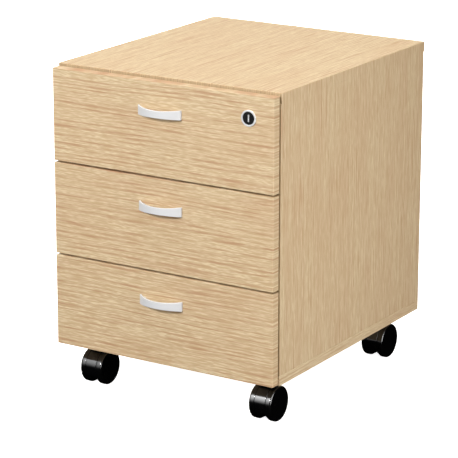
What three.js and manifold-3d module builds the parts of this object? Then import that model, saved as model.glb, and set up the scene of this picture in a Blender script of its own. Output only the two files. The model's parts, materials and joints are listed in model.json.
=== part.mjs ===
// A rolling pedestal cabinet: a melamine case on four twin-wheel casters, with three drawers on
// telescopic runners, a bow handle on each drawer and one lock that blocks all three.
// Millimetres, +X right, +Y to the rear, +Z up. The origin is on the floor, at the middle of the
// outer box.
import * as THREE from "three";
import { mergeVertices } from "three/addons/utils/BufferGeometryUtils.js";
import Module from "manifold-3d";

// Case
const caseWidth = 400;
const caseDepth = 444; // side and bottom panels, front edge to rear edge
const caseHeight = 450; // underside of the bottom panel to the top face
const boardThickness = 16;
const backThickness = 2.5;
const backInset = 1; // the back stands this far inside the case's side and lower edges
const topSetback = 2; // the top panel's front edge stands behind the sides'
const seam = 0.1; // assembly gap between pieces that are fixed to each other

// Casters
const casterInset = 43; // swivel axis in from the case's sides
const frontCasterInset = 52; // swivel axis back from the front edge
const rearCasterInset = 39; // swivel axis in from the rear edge
const swivelOffset = 12; // the wheels' axle stands this far in front of the swivel axis
const wheelRadius = 28;
const wheelToCase = 17; // room above the wheels for the plate, the race and the hood's boss
const wheelShoulder = 2.7; // rounding at the tread's outer edge
const wheelOuterFace = 19.5; // from the caster's middle plane
const wheelInnerFace = 4.75;
const hoodWidth = 19;
const hoodWall = 2.4;
const hoodToWheel = 0.6; // running gap between the hood's wall and what turns under it
const hoodFrontAngle = -22; // degrees above level at the front lip
const hoodRearAngle = 158;
const ribThickness = 6.8;
const axleBossRadius = 7;
const axleBossWidth = 8.4;
const axleRadius = 2.5;
const axleGap = 0.4; // round the axle, in the wheels and in the hood
const axleEndCover = 2.5; // wheel material past the end of the axle's bore
const plateSize = 42;
const plateThickness = 2.5;
const plateHoleRadius = 2.5;
const plateHoleSpacing = 30;
const raceRadius = 14;
const raceHeight = 4;
const raceToBoss = 1;
const kingpinRadius = 4;
const kingpinLength = 13;

// Drawer fronts
const frontThickness = 16;
const frontStandoff = 1; // bumper thickness between a front and the case
const frontSideReveal = 2;
const frontTopReveal = 4;
const frontBottomReveal = 2;
const frontGap = 3; // between one front and the next
const drawerCount = 3;

// Drawer boxes
const runnerSpace = 12.5; // between a drawer's side and the case's side
const drawerSideThickness = 12;
const armToBox = 4.75; // between the lock bar's arm and the top drawer's box
const drawerBoxLift = 20; // the box's lower edge above the front's lower edge
const drawerRearRoom = 45; // from a closed drawer's back to the case's rear edge
const drawerBottomThickness = 3;
const drawerBottomHeight = 8; // groove above the box's lower edge
const grooveDepth = 6;
const grooveGap = 0.25; // above and below the bottom, and past its edge

// Runners
const runnerHeight = 35;
const runnerRearRoom = 46; // from the runners' ends to the case's rear edge
const runnerSetback = 3;
const runnerGauge = 1.2;
const runnerDepth = 9.2; // of the case's channel, out of the side panel
const runnerLip = 3;
const ballGap = 3.5; // the ball race between the two channels
const drawerChannelDepth = 8;

// Handles
const handleLength = 76.5;
const handleProjection = 18; // out of the drawer front
const handleStrip = 3; // thickness of the bowed strip
const handleEndHeight = 15;
const handleWaistHeight = 11;
const handleDrop = 45.5; // the handle's middle below the front's upper edge
const handleHoleSpacing = 64;
const handleBossRadius = 4;
const handleScrewRadius = 2.25;
const handleArcSteps = 16;

// Lock
const lockEdgeDistance = 42.7; // from the front's right edge to the lock's axis
const lockDrop = 35; // from the front's upper edge to the lock's axis
const bezelRadius = 12.5;
const bezelHeight = 2;
const barrelRadius = 11.2;
const barrelHoleGap = 0.3;
const barrelLength = 20; // behind the front's face
const plugHeadRadius = 9.8;
const plugHeadDepth = 8;
const plugRecess = 0.3; // the plug's face stands this far inside the bezel's
const plugBodyRadius = 7;
const plugGap = 0.3;
const keywayWidth = 2.6;
const keywayHeight = 11;
const keywayDepth = 5;
const driverMargin = 1; // driver disc outside its eccentric pin
const driverThickness = 2.5;
const driverGap = 0.5; // between the barrel's end and the driver
const eccentricRadius = 6;
const eccentricPinRadius = 2;
const eccentricPinLength = 7;
const eccentricAngle = 45; // the pin rests this many degrees below level, to the right

// Lock bar in the right side panel
const barWidth = 12;
const barThickness = 5;
const barGap = 0.5; // round the bar, in its groove
const barSetback = 12; // the bar's middle behind the panel's front edge
const barBottomGap = 8;
const barTopGap = 14;
const catchPinRadius = 2.5;
const catchPinLength = 10;
const catchPlay = 1; // between a catch pin and the catch that it stops
const catchHeight = 10;
const catchRise = 8; // the catch's lower edge above its runner
const catchReach = 8; // out of the drawer's runner, towards the side panel
const catchThickness = 1.5;
const armHeight = 14;
const armThickness = 2;
const armEndMargin = 4; // past the slot for the eccentric pin
const slotGap = 0.4;
const guideThickness = 3;
const guideMargin = 5; // in front of the bar
const guideScrewTab = 11; // behind the bar
const guideEndGap = 13; // to the runner above and to the catch below
const guideScrewRadius = 2;
const guideScrewInset = 5; // from the guide's rear edge and from its ends

const round = 28; // sides of a large round
const smallRound = 12;

// Places worked out from the sizes above, with z = 0 on the floor and y = 0 at the sides' front edge
const casterHeight = 2 * wheelRadius + wheelToCase;
const caseBottom = casterHeight;
const caseTop = casterHeight + caseHeight;
const innerHalfWidth = caseWidth / 2 - boardThickness;
const sideBottom = caseBottom + boardThickness;
const sideTop = caseTop - boardThickness;
const rearFace = caseDepth + backThickness;
const frontWidth = caseWidth - 2 * frontSideReveal;
const frontRevealSum = frontTopReveal + frontBottomReveal + (drawerCount - 1) * frontGap;
const frontHeight = (caseHeight - frontRevealSum) / drawerCount;
const frontBack = -frontStandoff;
const frontFace = frontBack - frontThickness;
const boxHalfWidth = innerHalfWidth - runnerSpace;
const drawerBoxDepth = caseDepth - drawerRearRoom - frontBack;
const runnerLength = caseDepth - runnerRearRoom - runnerSetback;
const handleFront = frontFace - handleProjection;
const middleOfDepth = (handleFront + rearFace) / 2;
const lockX = frontWidth / 2 - lockEdgeDistance;
const lockZ = caseTop - frontTopReveal - lockDrop;
const eccentricTurn = THREE.MathUtils.degToRad(eccentricAngle);
const eccentricDrop = eccentricRadius * Math.sin(eccentricTurn);
const eccentricX = eccentricRadius * Math.cos(eccentricTurn);
const slotMiddleZ = lockZ - eccentricDrop;
const drawerBoxDrop = lockDrop + eccentricDrop + armHeight / 2 + armToBox;
const drawerBoxHeight = frontHeight - drawerBoxLift - drawerBoxDrop;
const runnerCentreLift = drawerBoxLift + drawerBoxHeight / 2;

function frontBottomOf(drawer) {
  return caseTop - frontTopReveal - drawer * frontHeight - (drawer - 1) * frontGap;
}

const wasm = await Module();
wasm.setup();

// Geometry helpers

function toSolid(geometry) {
  const bare = geometry.clone();
  bare.deleteAttribute("normal");
  bare.deleteAttribute("uv");
  const merged = mergeVertices(bare, 1e-4);
  const vertProperties = new Float32Array(merged.getAttribute("position").array);
  const triVerts = new Uint32Array(merged.index.array);
  return new wasm.Manifold(new wasm.Mesh({ numProp: 3, vertProperties, triVerts }));
}

function toGeometry(solid) {
  const mesh = solid.getMesh();
  const geometry = new THREE.BufferGeometry();
  geometry.setAttribute("position", new THREE.BufferAttribute(mesh.vertProperties, 3));
  geometry.setIndex(new THREE.BufferAttribute(mesh.triVerts, 1));
  geometry.computeVertexNormals();
  return geometry;
}

function cut(base, ...tools) {
  return toGeometry(tools.reduce((solid, tool) => solid.subtract(toSolid(tool)), toSolid(base)));
}

function join(base, ...pieces) {
  return toGeometry(pieces.reduce((solid, piece) => solid.add(toSolid(piece)), toSolid(base)));
}

// A box from its lowest and highest corners.
function boxBetween(low, high) {
  const size = high.map((value, axis) => value - low[axis]);
  const middle = high.map((value, axis) => (value + low[axis]) / 2);
  return new THREE.BoxGeometry(...size).translate(...middle);
}

// An outline in x and z, drawn out along +y from 0.
function drawAlongY(shape, length) {
  const geometry = new THREE.ExtrudeGeometry(shape, { depth: length, bevelEnabled: false });
  return geometry.rotateX(Math.PI / 2).translate(0, length, 0);
}

// An outline in y and z, drawn out along x and centred on x = 0.
function drawAlongX(shape, width) {
  const geometry = new THREE.ExtrudeGeometry(shape, { depth: width, bevelEnabled: false });
  const turn = new THREE.Matrix4().set(0, 0, 1, 0, 1, 0, 0, 0, 0, 1, 0, 0, 0, 0, 0, 1);
  return geometry.applyMatrix4(turn).translate(-width / 2, 0, 0);
}

function shapeOf(points) {
  return new THREE.Shape(points.map(([x, y]) => new THREE.Vector2(x, y)));
}

// A profile of [radius, height] pairs turned about y, x or z.
function turned(profile, sides, axis) {
  const points = profile.map(([radius, height]) => new THREE.Vector2(radius, height));
  const geometry = new THREE.LatheGeometry(points, sides);
  if (axis === "x") geometry.rotateZ(-Math.PI / 2);
  if (axis === "z") geometry.rotateX(Math.PI / 2);
  return geometry;
}

// A cylinder between two heights along y, x or z.
function rod(radius, from, to, sides, axis) {
  const geometry = new THREE.CylinderGeometry(radius, radius, to - from, sides);
  geometry.translate(0, (from + to) / 2, 0);
  if (axis === "x") geometry.rotateZ(-Math.PI / 2);
  if (axis === "z") geometry.rotateX(Math.PI / 2);
  return geometry;
}

// Finishes

function lightOak() {
  return new THREE.MeshStandardMaterial({ color: "#d8bd92", roughness: 0.55, metalness: 0 });
}

function hardboard() {
  return new THREE.MeshStandardMaterial({ color: "#d6bb90", roughness: 0.7, metalness: 0 });
}

function drawerWhite() {
  return new THREE.MeshStandardMaterial({ color: "#e9e7e2", roughness: 0.5, metalness: 0 });
}

function satinNickel() {
  return new THREE.MeshStandardMaterial({ color: "#d9dadb", roughness: 0.3, metalness: 1 });
}

function zincSteel() {
  return new THREE.MeshStandardMaterial({ color: "#b9bcbf", roughness: 0.35, metalness: 1 });
}

function blackPlastic() {
  return new THREE.MeshStandardMaterial({ color: "#101011", roughness: 0.3, metalness: 0 });
}

const cabinet = new THREE.Group();
const assembly = new THREE.Group();
assembly.position.y = -middleOfDepth;
cabinet.add(assembly);

function addPiece(parent, name, geometry, material, place = [0, 0, 0]) {
  const mesh = new THREE.Mesh(geometry, material);
  mesh.name = name;
  mesh.position.set(...place);
  parent.add(mesh);
}

// Case: the sides stand on the bottom panel and carry the top panel, and a thin back is nailed to
// their rear edges, under the top panel's overhang.

function addCase(parent) {
  const halfWidth = caseWidth / 2;
  const sideHeight = sideTop - sideBottom - 2 * seam;
  const sideBoard = () =>
    boxBetween([0, 0, 0], [boardThickness, caseDepth, sideHeight]);
  addPiece(parent, "side_panel_left", sideBoard(), lightOak(), [-halfWidth, 0, sideBottom + seam]);

  const grooveHalf = barWidth / 2 + barGap;
  const barGroove = boxBetween(
    [-1, barSetback - grooveHalf, -1],
    [barThickness + 2 * barGap, barSetback + grooveHalf, sideHeight + 1],
  );
  const rightSide = cut(sideBoard(), barGroove);
  addPiece(parent, "side_panel_right", rightSide, lightOak(), [innerHalfWidth, 0, sideBottom + seam]);

  const topBoard = boxBetween([-halfWidth, topSetback, 0], [halfWidth, rearFace, boardThickness]);
  addPiece(parent, "top_panel", topBoard, lightOak(), [0, 0, sideTop]);
  const bottomBoard = boxBetween([-halfWidth, 0, 0], [halfWidth, caseDepth, boardThickness]);
  addPiece(parent, "bottom_panel", bottomBoard, lightOak(), [0, 0, caseBottom]);

  const backBottom = caseBottom + backInset;
  const backBoard = boxBetween(
    [backInset - halfWidth, seam, 0],
    [halfWidth - backInset, backThickness, sideTop - seam - backBottom],
  );
  addPiece(parent, "back_panel", backBoard, hardboard(), [0, caseDepth, backBottom]);
}

// Caster: local z = 0 on the floor, the swivel axis at x = 0, y = 0.

function casterPlate() {
  const plateBottom = casterHeight - seam - plateThickness;
  const half = plateSize / 2;
  const plate = boxBetween([-half, -half, plateBottom], [half, half, casterHeight - seam]);
  const race = turned(
    [
      [0, plateBottom - raceHeight],
      [raceRadius - 1, plateBottom - raceHeight],
      [raceRadius, plateBottom - raceHeight + 1],
      [raceRadius, plateBottom + plateThickness / 2],
      [0, plateBottom + plateThickness / 2],
    ],
    round,
    "y",
  ).rotateX(Math.PI / 2);
  const kingpinEnd = plateBottom - raceHeight - kingpinLength;
  const kingpin = rod(kingpinRadius, kingpinEnd, plateBottom, smallRound, "z");
  const holes = [-1, 1].flatMap((x) =>
    [-1, 1].map((y) => {
      const hole = rod(plateHoleRadius, plateBottom - 1, casterHeight + 1, smallRound, "z");
      return hole.translate((x * plateHoleSpacing) / 2, (y * plateHoleSpacing) / 2, 0);
    }),
  );
  return cut(join(plate, race, kingpin), ...holes);
}

// The hood is a curved wall between the wheels' treads, a rib that carries the axle, and a boss on
// the swivel axis.
function casterHood() {
  const outer = wheelRadius;
  const inner = wheelRadius - hoodWall;
  const from = THREE.MathUtils.degToRad(180 - hoodFrontAngle);
  const to = THREE.MathUtils.degToRad(180 - hoodRearAngle);
  const wallShape = new THREE.Shape();
  wallShape.absarc(0, 0, outer, from, to, true);
  wallShape.absarc(0, 0, inner, to, from, false);
  const ribShape = new THREE.Shape();
  ribShape.absarc(0, 0, (outer + inner) / 2, from, to, true);
  ribShape.absarc(0, 0, axleBossRadius, to - 1, from + 1, true);
  const wall = toSolid(drawAlongX(wallShape, hoodWidth).translate(0, -swivelOffset, wheelRadius));
  const rib = toSolid(drawAlongX(ribShape, ribThickness).translate(0, -swivelOffset, wheelRadius));

  const bossTop = casterHeight - seam - plateThickness - raceHeight - raceToBoss;
  const boss = toSolid(rod(hoodWidth / 2, wheelRadius, bossTop, round, "z"));
  const wheelWell = toSolid(
    rod(inner, -wheelOuterFace, wheelOuterFace, round, "x").translate(0, -swivelOffset, wheelRadius),
  );
  const axleBoss = toSolid(
    rod(axleBossRadius, -axleBossWidth / 2, axleBossWidth / 2, round, "x").translate(
      0,
      -swivelOffset,
      wheelRadius,
    ),
  );
  const axleBore = toSolid(
    rod(axleRadius + axleGap, -wheelOuterFace, wheelOuterFace, smallRound, "x").translate(
      0,
      -swivelOffset,
      wheelRadius,
    ),
  );
  const kingpinEnd = bossTop + raceToBoss - kingpinLength;
  const kingpinBore = toSolid(
    rod(kingpinRadius + axleGap, kingpinEnd - axleGap, bossTop + 1, smallRound, "z"),
  );
  const outside = boss.subtract(wheelWell).add(wall).add(rib).add(axleBoss);
  return toGeometry(outside.subtract(axleBore).subtract(kingpinBore));
}

// One wheel, turned about x, with its closed face outwards. The stepped-in hub runs under the hood.
// The tread's flats touch its true circle, and one flat lies on the floor.
function casterWheel(side) {
  const corner = 1 / Math.cos(Math.PI / round);
  const flangeInner = hoodWidth / 2 + axleGap;
  const hubRadius = wheelRadius - hoodWall - hoodToWheel;
  const boreRadius = axleRadius + axleGap;
  const boreEnd = wheelOuterFace - axleEndCover;
  const profile = [
    [0, boreEnd],
    [boreRadius, boreEnd],
    [boreRadius, wheelInnerFace],
    [hubRadius, wheelInnerFace],
    [hubRadius, flangeInner],
    [wheelRadius * corner, flangeInner],
  ];
  const shoulderSteps = 3;
  for (let step = 0; step <= shoulderSteps; step += 1) {
    const angle = ((step / shoulderSteps) * Math.PI) / 2;
    profile.push([
      (wheelRadius - wheelShoulder + wheelShoulder * Math.cos(angle)) * corner,
      wheelOuterFace - wheelShoulder + wheelShoulder * Math.sin(angle),
    ]);
  }
  profile.push([0, wheelOuterFace]);
  const wheel = turned(profile, round, "x").rotateX(Math.PI / round);
  return side < 0 ? wheel.rotateZ(Math.PI) : wheel;
}

function addCaster(parent, name, x, y) {
  const caster = new THREE.Group();
  caster.position.set(x, y, 0);
  parent.add(caster);
  addPiece(caster, `${name}_plate`, casterPlate(), zincSteel());
  addPiece(caster, `${name}_hood`, casterHood(), blackPlastic());
  const axlePlace = [0, -swivelOffset, wheelRadius];
  const axleEnd = wheelOuterFace - axleEndCover - axleGap;
  const axle = rod(axleRadius, -axleEnd, axleEnd, smallRound, "x");
  addPiece(caster, `${name}_axle`, axle, zincSteel(), axlePlace);
  addPiece(caster, `${name}_wheel_left`, casterWheel(-1), blackPlastic(), axlePlace);
  addPiece(caster, `${name}_wheel_right`, casterWheel(1), blackPlastic(), axlePlace);
}

// Drawer front: local z = 0 at its lower edge, y = 0 at its back face.

function drawerFront(hasLock) {
  const board = boxBetween([-frontWidth / 2, -frontThickness, 0], [frontWidth / 2, 0, frontHeight]);
  const grooveBottom = drawerBoxLift + drawerBottomHeight - grooveGap;
  const grooveTop = drawerBoxLift + drawerBottomHeight + drawerBottomThickness + grooveGap;
  const grooveHalf = boxHalfWidth - drawerSideThickness + grooveDepth;
  const groove = boxBetween([-grooveHalf, -grooveDepth, grooveBottom], [grooveHalf, 1, grooveTop]);
  const tools = [groove];
  for (const side of [-1, 1]) {
    const hole = rod(handleScrewRadius, -frontThickness - 1, 1, smallRound, "y");
    tools.push(hole.translate((side * handleHoleSpacing) / 2, 0, frontHeight - handleDrop));
  }
  if (hasLock) {
    const barrelHole = rod(barrelRadius + barrelHoleGap, -frontThickness - 1, 1, round, "y");
    tools.push(barrelHole.translate(lockX, 0, frontHeight - lockDrop));
  }
  return cut(board, ...tools);
}

// Handle: a strip bowed out of the front, waisted in the middle, with a screw boss near each end.
// Local y = 0 on the drawer front's face, z = 0 at the handle's middle.
function handle() {
  const halfLength = handleLength / 2;
  const sagitta = handleProjection - handleStrip;
  const outerRadius = (halfLength ** 2 + sagitta ** 2) / (2 * sagitta);
  const innerRadius = outerRadius - handleStrip;
  const arcCentre = outerRadius - handleProjection;
  const outerAngle = Math.asin(halfLength / outerRadius);
  const innerAngle = Math.acos(arcCentre / innerRadius);
  const plan = new THREE.Shape();
  const down = -Math.PI / 2;
  plan.absarc(0, arcCentre, outerRadius, down - outerAngle, down + outerAngle, false);
  plan.lineTo(halfLength, 0);
  plan.absarc(0, arcCentre, innerRadius, down + innerAngle, down - innerAngle, true);
  plan.lineTo(-halfLength, 0);
  const bow = new THREE.ExtrudeGeometry(plan, {
    depth: handleEndHeight,
    bevelEnabled: false,
    curveSegments: handleArcSteps,
  }).translate(0, 0, -handleEndHeight / 2);

  const waist = new THREE.Shape();
  const edge = (x) => {
    const share = (x / halfLength) ** 2;
    return (handleWaistHeight + (handleEndHeight - handleWaistHeight) * share) / 2;
  };
  const steps = 8;
  for (let step = 0; step <= steps; step += 1) {
    const x = halfLength * ((2 * step) / steps - 1);
    if (step === 0) waist.moveTo(x, -edge(x));
    else waist.lineTo(x, -edge(x));
  }
  for (let step = steps; step >= 0; step -= 1) {
    const x = halfLength * ((2 * step) / steps - 1);
    waist.lineTo(x, edge(x));
  }
  const waistBlock = drawAlongY(waist, handleProjection + 1).translate(0, -handleProjection - 0.5, 0);
  const strip = toSolid(bow).intersect(toSolid(waistBlock));
  const bossX = handleHoleSpacing / 2;
  const bossDepth = Math.sqrt(innerRadius ** 2 - bossX ** 2) - arcCentre + handleStrip / 2;
  const bosses = [-1, 1].map((side) =>
    toSolid(rod(handleBossRadius, -bossDepth, 0, smallRound, "y").translate(side * bossX, 0, 0)),
  );
  return toGeometry(strip.add(bosses[0]).add(bosses[1]));
}

// Drawer side: local z = 0 at the box's lower edge, y = 0 at the drawer front's back face.
function drawerSide(side) {
  const outerX = side * (boxHalfWidth - seam);
  const innerX = side * (boxHalfWidth - drawerSideThickness);
  const grooveX = side * (boxHalfWidth - drawerSideThickness + grooveDepth);
  const grooveBottom = drawerBottomHeight - grooveGap;
  const grooveTop = drawerBottomHeight + drawerBottomThickness + grooveGap;
  const outline = shapeOf([
    [outerX, 0],
    [innerX, 0],
    [innerX, grooveBottom],
    [grooveX, grooveBottom],
    [grooveX, grooveTop],
    [innerX, grooveTop],
    [innerX, drawerBoxHeight],
    [outerX, drawerBoxHeight],
  ]);
  return drawAlongY(outline, drawerBoxDepth - seam).translate(0, seam, 0);
}

// The drawer's channel, with its open side towards the case. Local z = 0 at the runner's middle.
function drawerChannel(side, hasCatch) {
  const webX = boxHalfWidth;
  const half = runnerHeight / 2 - runnerGauge - ballGap;
  const outline = shapeOf([
    [side * webX, -half],
    [side * (webX + drawerChannelDepth), -half],
    [side * (webX + drawerChannelDepth), -half + runnerGauge],
    [side * (webX + runnerGauge), -half + runnerGauge],
    [side * (webX + runnerGauge), half - runnerGauge],
    [side * (webX + drawerChannelDepth), half - runnerGauge],
    [side * (webX + drawerChannelDepth), half],
    [side * webX, half],
  ]);
  const channel = drawAlongY(outline, runnerLength);
  if (!hasCatch) return channel;
  const catchFront = barSetback + catchPinRadius + catchPlay - runnerSetback;
  const catchBottom = runnerHeight / 2 + catchRise;
  const catchTop = catchBottom + catchHeight;
  const upright = boxBetween(
    [webX, catchFront, half - runnerGauge / 2],
    [webX + runnerGauge, catchFront + catchHeight, catchTop],
  );
  const flag = boxBetween(
    [webX + runnerGauge / 2, catchFront, catchBottom],
    [webX + runnerGauge + catchReach, catchFront + catchThickness, catchTop],
  );
  return join(channel, upright, flag);
}

// The case's channel, with its open side and its lips towards the drawer.
function caseChannel(side) {
  const webX = innerHalfWidth - seam;
  const lipX = webX - runnerDepth;
  const half = runnerHeight / 2;
  const outline = shapeOf([
    [side * webX, -half],
    [side * lipX, -half],
    [side * lipX, -half + runnerGauge + runnerLip],
    [side * (lipX + runnerGauge), -half + runnerGauge + runnerLip],
    [side * (lipX + runnerGauge), -half + runnerGauge],
    [side * (webX - runnerGauge), -half + runnerGauge],
    [side * (webX - runnerGauge), half - runnerGauge],
    [side * (lipX + runnerGauge), half - runnerGauge],
    [side * (lipX + runnerGauge), half - runnerGauge - runnerLip],
    [side * lipX, half - runnerGauge - runnerLip],
    [side * lipX, half],
    [side * webX, half],
  ]);
  return drawAlongY(outline, runnerLength);
}

function addDrawer(parent, number) {
  const drawer = new THREE.Group();
  const frontBottom = frontBottomOf(number);
  const hasLock = number === 1;
  drawer.position.set(0, frontBack, frontBottom);
  parent.add(drawer);
  const name = `drawer_${number}`;
  addPiece(drawer, `${name}_front`, drawerFront(hasLock), lightOak());
  addPiece(drawer, `${name}_handle`, handle(), satinNickel(), [
    0,
    -frontThickness - seam,
    frontHeight - handleDrop,
  ]);

  const boxPlace = [0, 0, drawerBoxLift];
  addPiece(drawer, `${name}_side_left`, drawerSide(-1), drawerWhite(), boxPlace);
  addPiece(drawer, `${name}_side_right`, drawerSide(1), drawerWhite(), boxPlace);
  const insideHalf = boxHalfWidth - drawerSideThickness - seam;
  const backBottom = drawerBottomHeight + drawerBottomThickness + grooveGap;
  const backBoard = boxBetween(
    [-insideHalf, drawerBoxDepth - drawerSideThickness, backBottom],
    [insideHalf, drawerBoxDepth, drawerBoxHeight],
  );
  addPiece(drawer, `${name}_back`, backBoard, drawerWhite(), boxPlace);
  const bottomHalf = insideHalf + grooveDepth - grooveGap;
  const bottomBoard = boxBetween(
    [-bottomHalf, grooveGap - grooveDepth, drawerBottomHeight],
    [bottomHalf, drawerBoxDepth, drawerBottomHeight + drawerBottomThickness],
  );
  addPiece(drawer, `${name}_bottom`, bottomBoard, drawerWhite(), boxPlace);

  const runnerY = runnerSetback - frontBack;
  const runnerPlace = [0, runnerY, runnerCentreLift];
  addPiece(drawer, `${name}_runner_left`, drawerChannel(-1, false), zincSteel(), runnerPlace);
  addPiece(drawer, `${name}_runner_right`, drawerChannel(1, true), zincSteel(), runnerPlace);

  const casePlace = [0, runnerSetback, frontBottom + runnerCentreLift];
  addPiece(parent, `case_runner_${number}_left`, caseChannel(-1), zincSteel(), casePlace);
  addPiece(parent, `case_runner_${number}_right`, caseChannel(1), zincSteel(), casePlace);
}

// Lock: local y = 0 on the drawer front's face, the lock's axis at x = 0, z = 0. A profile gives
// radius and distance behind the face.

function lockHousing() {
  const headBore = plugHeadRadius + plugGap;
  const bodyBore = plugBodyRadius + plugGap;
  const stepDepth = plugHeadDepth - bezelHeight + plugRecess + plugGap;
  return turned(
    [
      [headBore, -bezelHeight],
      [headBore, stepDepth],
      [bodyBore, stepDepth],
      [bodyBore, barrelLength],
      [barrelRadius, barrelLength],
      [barrelRadius, -seam],
      [bezelRadius, -seam],
      [bezelRadius, -bezelHeight + 0.6],
      [bezelRadius - 0.6, -bezelHeight],
      [headBore, -bezelHeight],
    ].reverse(),
    round,
    "y",
  );
}

function lockPlug() {
  const face = plugRecess - bezelHeight;
  const body = turned(
    [
      [0, face],
      [plugHeadRadius, face],
      [plugHeadRadius, face + plugHeadDepth],
      [plugBodyRadius, face + plugHeadDepth],
      [plugBodyRadius, barrelLength + seam],
      [0, barrelLength + seam],
    ],
    round,
    "y",
  );
  const keyway = boxBetween(
    [-keywayWidth / 2, face - 1, -keywayHeight / 2],
    [keywayWidth / 2, face + keywayDepth, keywayHeight / 2],
  );
  return cut(body, keyway);
}

function lockDriver() {
  const start = barrelLength + driverGap;
  const driverRadius = eccentricRadius + eccentricPinRadius + driverMargin;
  const disc = rod(driverRadius, start, start + driverThickness, round, "y");
  const pinEnd = start + driverThickness + eccentricPinLength;
  const pin = rod(eccentricPinRadius, start + driverThickness / 2, pinEnd, smallRound, "y");
  return join(disc, pin.translate(eccentricX, 0, -eccentricDrop));
}

// The lock bar: an upright strip with one catch pin for each drawer, and an arm whose slot takes
// the lock's eccentric pin. Local z = 0 at the bar's lower end.
function lockBar(barBottom, barTop) {
  const faceX = innerHalfWidth + barGap;
  const strip = boxBetween(
    [faceX, barSetback - barWidth / 2, 0],
    [faceX + barThickness, barSetback + barWidth / 2, barTop - barBottom],
  );
  const slotZ = slotMiddleZ - barBottom;
  const slotLeft = lockX + eccentricX - eccentricPinRadius - slotGap;
  const slotRight = lockX + eccentricRadius + eccentricPinRadius + slotGap;
  const slotHalf = eccentricPinRadius + slotGap;
  const armFront = barSetback - armThickness;
  const arm = boxBetween(
    [slotLeft - armEndMargin, armFront, slotZ - armHeight / 2],
    [faceX + barThickness / 2, barSetback, slotZ + armHeight / 2],
  );
  const slot = boxBetween(
    [slotLeft, armFront - 1, slotZ - slotHalf],
    [slotRight, barSetback + 1, slotZ + slotHalf],
  );
  const pins = [];
  for (let number = 1; number <= drawerCount; number += 1) {
    const catchBottom = frontBottomOf(number) + runnerCentreLift + runnerHeight / 2 + catchRise;
    const pinZ = catchBottom - catchPlay - catchPinRadius - barBottom;
    const pinRoot = faceX + barThickness / 2;
    const pin = rod(catchPinRadius, faceX - catchPinLength, pinRoot, smallRound, "x");
    pins.push(pin.translate(0, barSetback, pinZ));
  }
  return cut(join(strip, arm, ...pins), slot);
}

function addLock(parent) {
  const lockPlace = [lockX, frontFace, lockZ];
  addPiece(parent, "lock_housing", lockHousing(), satinNickel(), lockPlace);
  addPiece(parent, "lock_plug", lockPlug(), blackPlastic(), lockPlace);
  addPiece(parent, "lock_driver", lockDriver(), zincSteel(), lockPlace);

  const barBottom = sideBottom + barBottomGap;
  const barTop = sideTop - barTopGap;
  addPiece(parent, "lock_bar", lockBar(barBottom, barTop), zincSteel(), [0, 0, barBottom]);

  const guideX = innerHalfWidth - seam;
  const guideFront = barSetback - barWidth / 2 - guideMargin;
  const guideRear = barSetback + barWidth / 2 + guideScrewTab;
  const upperRunner = frontBottomOf(1) + runnerCentreLift - runnerHeight / 2;
  const lowerRunner = frontBottomOf(2) + runnerCentreLift + runnerHeight / 2;
  const guideTop = upperRunner - guideEndGap;
  const guideBottom = lowerRunner + catchRise + catchHeight + guideEndGap;
  const plate = boxBetween(
    [guideX - guideThickness, guideFront, guideBottom],
    [guideX, guideRear, guideTop],
  );
  const screwHoles = [guideBottom + guideScrewInset, guideTop - guideScrewInset].map((z) => {
    const hole = rod(guideScrewRadius, guideX - guideThickness - 1, guideX + 1, smallRound, "x");
    return hole.translate(0, guideRear - guideScrewInset, z);
  });
  addPiece(parent, "lock_bar_guide", cut(plate, ...screwHoles), blackPlastic());
}

addCase(assembly);
const casterX = caseWidth / 2 - casterInset;
const rearCasterY = caseDepth - rearCasterInset;
addCaster(assembly, "caster_front_left", -casterX, frontCasterInset);
addCaster(assembly, "caster_front_right", casterX, frontCasterInset);
addCaster(assembly, "caster_rear_left", -casterX, rearCasterY);
addCaster(assembly, "caster_rear_right", casterX, rearCasterY);
for (let number = 1; number <= drawerCount; number += 1) addDrawer(assembly, number);
addLock(assembly);

export default cabinet;
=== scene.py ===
import json
import math

import bmesh
import bpy
from mathutils import Matrix, Vector


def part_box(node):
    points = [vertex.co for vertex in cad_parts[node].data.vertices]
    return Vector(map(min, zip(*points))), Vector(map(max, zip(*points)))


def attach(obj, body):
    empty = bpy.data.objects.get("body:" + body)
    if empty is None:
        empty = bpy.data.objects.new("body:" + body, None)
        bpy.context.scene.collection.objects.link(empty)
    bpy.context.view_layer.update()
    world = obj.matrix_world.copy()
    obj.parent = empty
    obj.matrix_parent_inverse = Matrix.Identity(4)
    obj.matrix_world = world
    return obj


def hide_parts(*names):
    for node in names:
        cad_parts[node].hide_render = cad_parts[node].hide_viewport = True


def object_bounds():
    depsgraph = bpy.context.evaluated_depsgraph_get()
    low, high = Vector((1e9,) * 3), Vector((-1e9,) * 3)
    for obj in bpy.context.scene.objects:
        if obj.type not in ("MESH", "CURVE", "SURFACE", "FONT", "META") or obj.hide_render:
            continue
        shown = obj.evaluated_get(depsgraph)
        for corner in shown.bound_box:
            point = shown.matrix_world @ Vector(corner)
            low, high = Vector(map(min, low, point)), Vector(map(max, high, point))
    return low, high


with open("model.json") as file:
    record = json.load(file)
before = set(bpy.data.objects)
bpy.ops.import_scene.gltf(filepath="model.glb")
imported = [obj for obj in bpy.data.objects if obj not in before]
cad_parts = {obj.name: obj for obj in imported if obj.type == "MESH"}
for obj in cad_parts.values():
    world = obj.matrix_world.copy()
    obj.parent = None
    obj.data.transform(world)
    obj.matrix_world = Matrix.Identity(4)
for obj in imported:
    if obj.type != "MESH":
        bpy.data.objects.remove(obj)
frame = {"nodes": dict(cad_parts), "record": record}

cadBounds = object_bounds()
mm = 0.001
record = frame["record"]
bodyOf = {node: body for body, nodes in record["behaviour"]["bodies"].items() for node in nodes}
drawers = (1, 2, 3)
sides = {"left": -1, "right": 1}
corners = ("front_left", "front_right", "rear_left", "rear_right")
print("frame loaded,", len(bodyOf), "nodes")


# Finishes

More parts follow.
